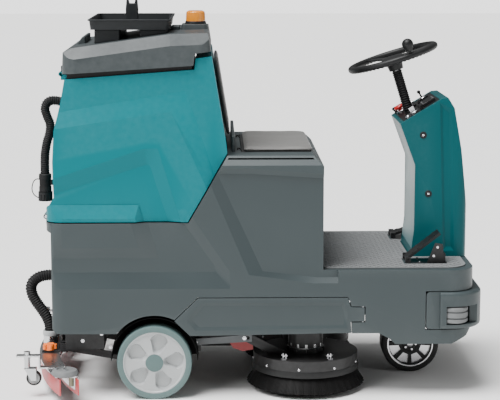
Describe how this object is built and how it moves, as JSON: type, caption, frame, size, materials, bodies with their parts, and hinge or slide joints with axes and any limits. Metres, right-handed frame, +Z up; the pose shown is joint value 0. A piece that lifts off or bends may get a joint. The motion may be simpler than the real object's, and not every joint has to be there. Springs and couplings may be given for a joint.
{
  "type": "ride-on floor scrubber",
  "caption": "Ride-on floor scrubber with a standing platform, seat, steered front drive wheel, disc brush deck, rear squeegee and tilting recovery tank.",
  "frame": {"origin": "on the floor, under the middle of the machine", "axes": "+X forwards, +Y to the machine's left, +Z up"},
  "size_m": [1.5939, 0.968, 1.341],
  "materials": {
    "body_grey": "moulded polyethylene, fine texture, satin",
    "tank_teal": "moulded polyethylene, satin gloss",
    "column_teal": "moulded polyethylene, satin gloss",
    "panel_teal": "moulded polyethylene, pale teal",
    "lid_grey": "moulded polyethylene, satin",
    "black_plastic": "fine grained black plastic",
    "black_steel": "black powder coat",
    "stainless": "brushed stainless sheet",
    "zinc": "bright zinc plated",
    "rubber_black": "black rubber",
    "mat_rubber": "grey rubber with raised tread",
    "seat_vinyl": "fine grained grey vinyl",
    "pad_black": "black vinyl",
    "tyre_grey": "grey-green non-marking tyre on a pale wheel",
    "tyre_dark": "dark grey solid tyre",
    "blade_red": "red polyurethane",
    "bristle_black": "black nylon bristle",
    "knob_orange": "orange plastic",
    "beacon_amber": "amber clear plastic",
    "red_plastic": "red plastic",
    "tank_natural": "natural polyethylene"
  },
  "bodies": {
    "machine": {"chassis_frame": "black_steel", "lower_body": "body_grey", "front_bumper": "body_grey", "hinge_pins": "zinc", "foot_mat": "mat_rubber", "battery_pack": "black_plastic", "solution_tank": "tank_natural", "vacuum_motor": "black_plastic", "column_cover": "column_teal", "column_rear_panel": "panel_teal", "dash_panel": "black_plastic", "cover_screws": "black_plastic", "steering_bellows": "rubber_black", "steering_gearbox": "black_steel", "pedal_brackets": "black_steel", "deck_actuator": "black_steel", "suction_hose": "rubber_black"},
    "recovery_tank": {"recovery_tank": "tank_teal", "lid_gasket": "rubber_black", "backrest_pad": "pad_black", "drain_hose": "rubber_black"},
    "drain_cap": {"drain_cap": "black_plastic"},
    "tank_lid": {"tank_lid": "lid_grey", "tool_tray": "black_plastic", "beacon_lens": "beacon_amber"},
    "seat": {"seat_plate": "black_plastic", "seat_cushion": "seat_vinyl"},
    "steering": {"steering_shaft": "zinc", "steering_wheel": "black_plastic"},
    "spinner_knob": {"spinner_knob": "black_plastic"},
    "key_switch": {"key_switch": "zinc"},
    "emergency_stop": {"emergency_stop": "red_plastic"},
    "direction_lever": {"direction_lever": "black_plastic"},
    "accelerator_pedal": {"accelerator_pedal": "black_plastic"},
    "brake_pedal": {"brake_pedal": "black_plastic"},
    "drive_unit": {"drive_fork": "black_steel"},
    "front_wheel": {"front_wheel": "tyre_dark"},
    "rear_wheel_right": {"rear_wheel_right": "tyre_grey"},
    "rear_wheel_left": {"rear_wheel_left": "tyre_grey"},
    "brush_deck": {"brush_deck": "black_steel", "brush_motors": "black_steel"},
    "brush_right": {"brush_right": "bristle_black"},
    "brush_left": {"brush_left": "bristle_black"},
    "deck_arms": {"deck_arms": "black_steel"},
    "squeegee_arms": {"squeegee_arms": "black_steel"},
    "squeegee": {"squeegee_carrier": "black_steel", "squeegee_body": "stainless", "squeegee_blades": "blade_red"},
    "caster_fork_right": {"caster_fork_right": "stainless"},
    "caster_fork_left": {"caster_fork_left": "stainless"},
    "caster_wheel_right": {"caster_wheel_right": "tyre_dark"},
    "caster_wheel_left": {"caster_wheel_left": "tyre_dark"},
    "guard_roller_right": {"guard_roller_right": "mat_rubber"},
    "guard_roller_left": {"guard_roller_left": "mat_rubber"},
    "star_knob_right": {"star_knob_right": "knob_orange"},
    "star_knob_left": {"star_knob_left": "knob_orange"},
    "bumper_roller_right": {"bumper_roller_right": "body_grey"},
    "bumper_roller_left": {"bumper_roller_left": "body_grey"},
    "side_door_right": {"side_door_right": "body_grey"},
    "side_door_left": {"side_door_left": "body_grey"}
  },
  "joints": [
    {"name": "tank_tilt", "type": "hinge", "parent": "machine", "child": "recovery_tank", "pos_m": [-0.695, 0, 0.608], "axis": [0, -1, 0], "range_deg": [0, 40]},
    {"name": "lid_open", "type": "hinge", "parent": "recovery_tank", "child": "tank_lid", "pos_m": [-0.636, 0, 1.096], "axis": [0, -1, 0], "range_deg": [0, 75]},
    {"name": "drain_cap_turn", "type": "hinge", "parent": "recovery_tank", "child": "drain_cap", "pos_m": [-0.711, -0.09, 0.65], "axis": [0, 0, 1], "continuous": true},
    {"name": "seat_lift", "type": "hinge", "parent": "machine", "child": "seat", "pos_m": [-0.033, 0, 0.832], "axis": [0, -1, 0], "range_deg": [0, 55]},
    {"name": "steering_wheel_turn", "type": "hinge", "parent": "machine", "child": "steering", "pos_m": [0.577, 0, 0.933], "axis": [-0.2974, 0, 0.9548], "range_deg": [-180, 180]},
    {"name": "spinner_knob_turn", "type": "hinge", "parent": "steering", "child": "spinner_knob", "pos_m": [0.5615, -0.14372, 1.14917], "axis": [-0.2974, 0, 0.9548], "continuous": true},
    {"name": "key_turn", "type": "hinge", "parent": "machine", "child": "key_switch", "pos_m": [0.5809, -0.096, 0.94633], "axis": [0.5214, 0, -0.8533], "range_deg": [0, 60]},
    {"name": "emergency_stop_press", "type": "slide", "parent": "machine", "child": "emergency_stop", "axis": [0.5214, 0, -0.8533], "range_m": [0, 0.005], "stiffness_N_per_m": 600, "springref_m": -0.002},
    {"name": "direction_lever_tilt", "type": "hinge", "parent": "machine", "child": "direction_lever", "pos_m": [0.63537, 0.084, 0.9761], "axis": [0, 1, 0], "range_deg": [-18, 18]},
    {"name": "accelerator_press", "type": "hinge", "parent": "machine", "child": "accelerator_pedal", "pos_m": [0.546, -0.234, 0.46], "axis": [0, 1, 0], "range_deg": [0, 15], "stiffness_Nm_per_rad": 12, "springref_deg": -6.88},
    {"name": "brake_press", "type": "hinge", "parent": "machine", "child": "brake_pedal", "pos_m": [0.546, 0.234, 0.46], "axis": [0, 1, 0], "range_deg": [0, 9], "stiffness_Nm_per_rad": 20, "springref_deg": -6.88},
    {"name": "drive_steer", "type": "hinge", "parent": "machine", "child": "drive_unit", "pos_m": [0.587, 0, 0], "axis": [0, 0, 1], "range_deg": [-75, 75]},
    {"name": "front_wheel_roll", "type": "hinge", "parent": "drive_unit", "child": "front_wheel", "pos_m": [0.587, 0, 0.103], "axis": [0, 1, 0], "continuous": true},
    {"name": "rear_wheel_right_roll", "type": "hinge", "parent": "machine", "child": "rear_wheel_right", "pos_m": [-0.323, -0.35, 0.127], "axis": [0, 1, 0], "continuous": true},
    {"name": "rear_wheel_left_roll", "type": "hinge", "parent": "machine", "child": "rear_wheel_left", "pos_m": [-0.323, 0.35, 0.127], "axis": [0, 1, 0], "continuous": true},
    {"name": "deck_lift", "type": "slide", "parent": "machine", "child": "brush_deck", "axis": [0, 0, 1], "range_m": [-0.018, 0.025]},
    {"name": "brush_right_spin", "type": "hinge", "parent": "brush_deck", "child": "brush_right", "pos_m": [0.199, -0.207, 0], "axis": [0, 0, 1], "continuous": true},
    {"name": "brush_left_spin", "type": "hinge", "parent": "brush_deck", "child": "brush_left", "pos_m": [0.199, 0.207, 0], "axis": [0, 0, 1], "continuous": true},
    {"name": "deck_arm_swing", "type": "hinge", "parent": "machine", "child": "deck_arms", "pos_m": [-0.184, 0, 0.171], "axis": [0, -1, 0], "range_deg": [-7, 10]},
    {"name": "squeegee_arm_swing", "type": "hinge", "parent": "machine", "child": "squeegee_arms", "pos_m": [-0.402, 0, 0.075], "axis": [0, -1, 0], "range_deg": [0, 9]},
    {"name": "squeegee_level", "type": "hinge", "parent": "squeegee_arms", "child": "squeegee", "pos_m": [-0.652, 0, 0.125], "axis": [0, -1, 0], "range_deg": [-9.5, 0.5], "deforming": ["suction_hose"]},
    {"name": "caster_swivel_right", "type": "hinge", "parent": "squeegee", "child": "caster_fork_right", "pos_m": [-0.758, -0.34, 0.137], "axis": [0, 0, 1], "continuous": true},
    {"name": "caster_roll_right", "type": "hinge", "parent": "caster_fork_right", "child": "caster_wheel_right", "pos_m": [-0.736, -0.34, 0.067], "axis": [0, 1, 0], "continuous": true},
    {"name": "guard_roller_spin_right", "type": "hinge", "parent": "squeegee", "child": "guard_roller_right", "pos_m": [-0.62089, -0.44, 0.102], "axis": [0, 0, 1], "continuous": true},
    {"name": "star_knob_turn_right", "type": "hinge", "parent": "squeegee", "child": "star_knob_right", "pos_m": [-0.704, -0.118, 0.109], "axis": [0, 0, 1], "continuous": true},
    {"name": "bumper_roller_spin_right", "type": "hinge", "parent": "machine", "child": "bumper_roller_right", "pos_m": [0.695, -0.344, 0.288], "axis": [0, 0, 1], "continuous": true},
    {"name": "side_door_right", "type": "hinge", "parent": "machine", "child": "side_door_right", "pos_m": [0.384, -0.374, 0.292], "axis": [0, 0, 1], "range_deg": [0, 95]},
    {"name": "caster_swivel_left", "type": "hinge", "parent": "squeegee", "child": "caster_fork_left", "pos_m": [-0.758, 0.34, 0.137], "axis": [0, 0, 1], "continuous": true},
    {"name": "caster_roll_left", "type": "hinge", "parent": "caster_fork_left", "child": "caster_wheel_left", "pos_m": [-0.736, 0.34, 0.067], "axis": [0, 1, 0], "continuous": true},
    {"name": "guard_roller_spin_left", "type": "hinge", "parent": "squeegee", "child": "guard_roller_left", "pos_m": [-0.62089, 0.44, 0.102], "axis": [0, 0, 1], "continuous": true},
    {"name": "star_knob_turn_left", "type": "hinge", "parent": "squeegee", "child": "star_knob_left", "pos_m": [-0.704, 0.118, 0.109], "axis": [0, 0, 1], "continuous": true},
    {"name": "bumper_roller_spin_left", "type": "hinge", "parent": "machine", "child": "bumper_roller_left", "pos_m": [0.695, 0.344, 0.288], "axis": [0, 0, 1], "continuous": true},
    {"name": "side_door_left", "type": "hinge", "parent": "machine", "child": "side_door_left", "pos_m": [0.384, 0.374, 0.292], "axis": [0, 0, -1], "range_deg": [0, 95]}
  ],
  "couplings": [
    {"joint": "steering_wheel_turn", "follows": "drive_steer", "ratio": 2.4},
    {"joint": "deck_arm_swing", "follows": "deck_lift", "rad_per_m": 5.7471},
    {"joint": "squeegee_level", "follows": "squeegee_arm_swing", "ratio": -1}
  ]
}
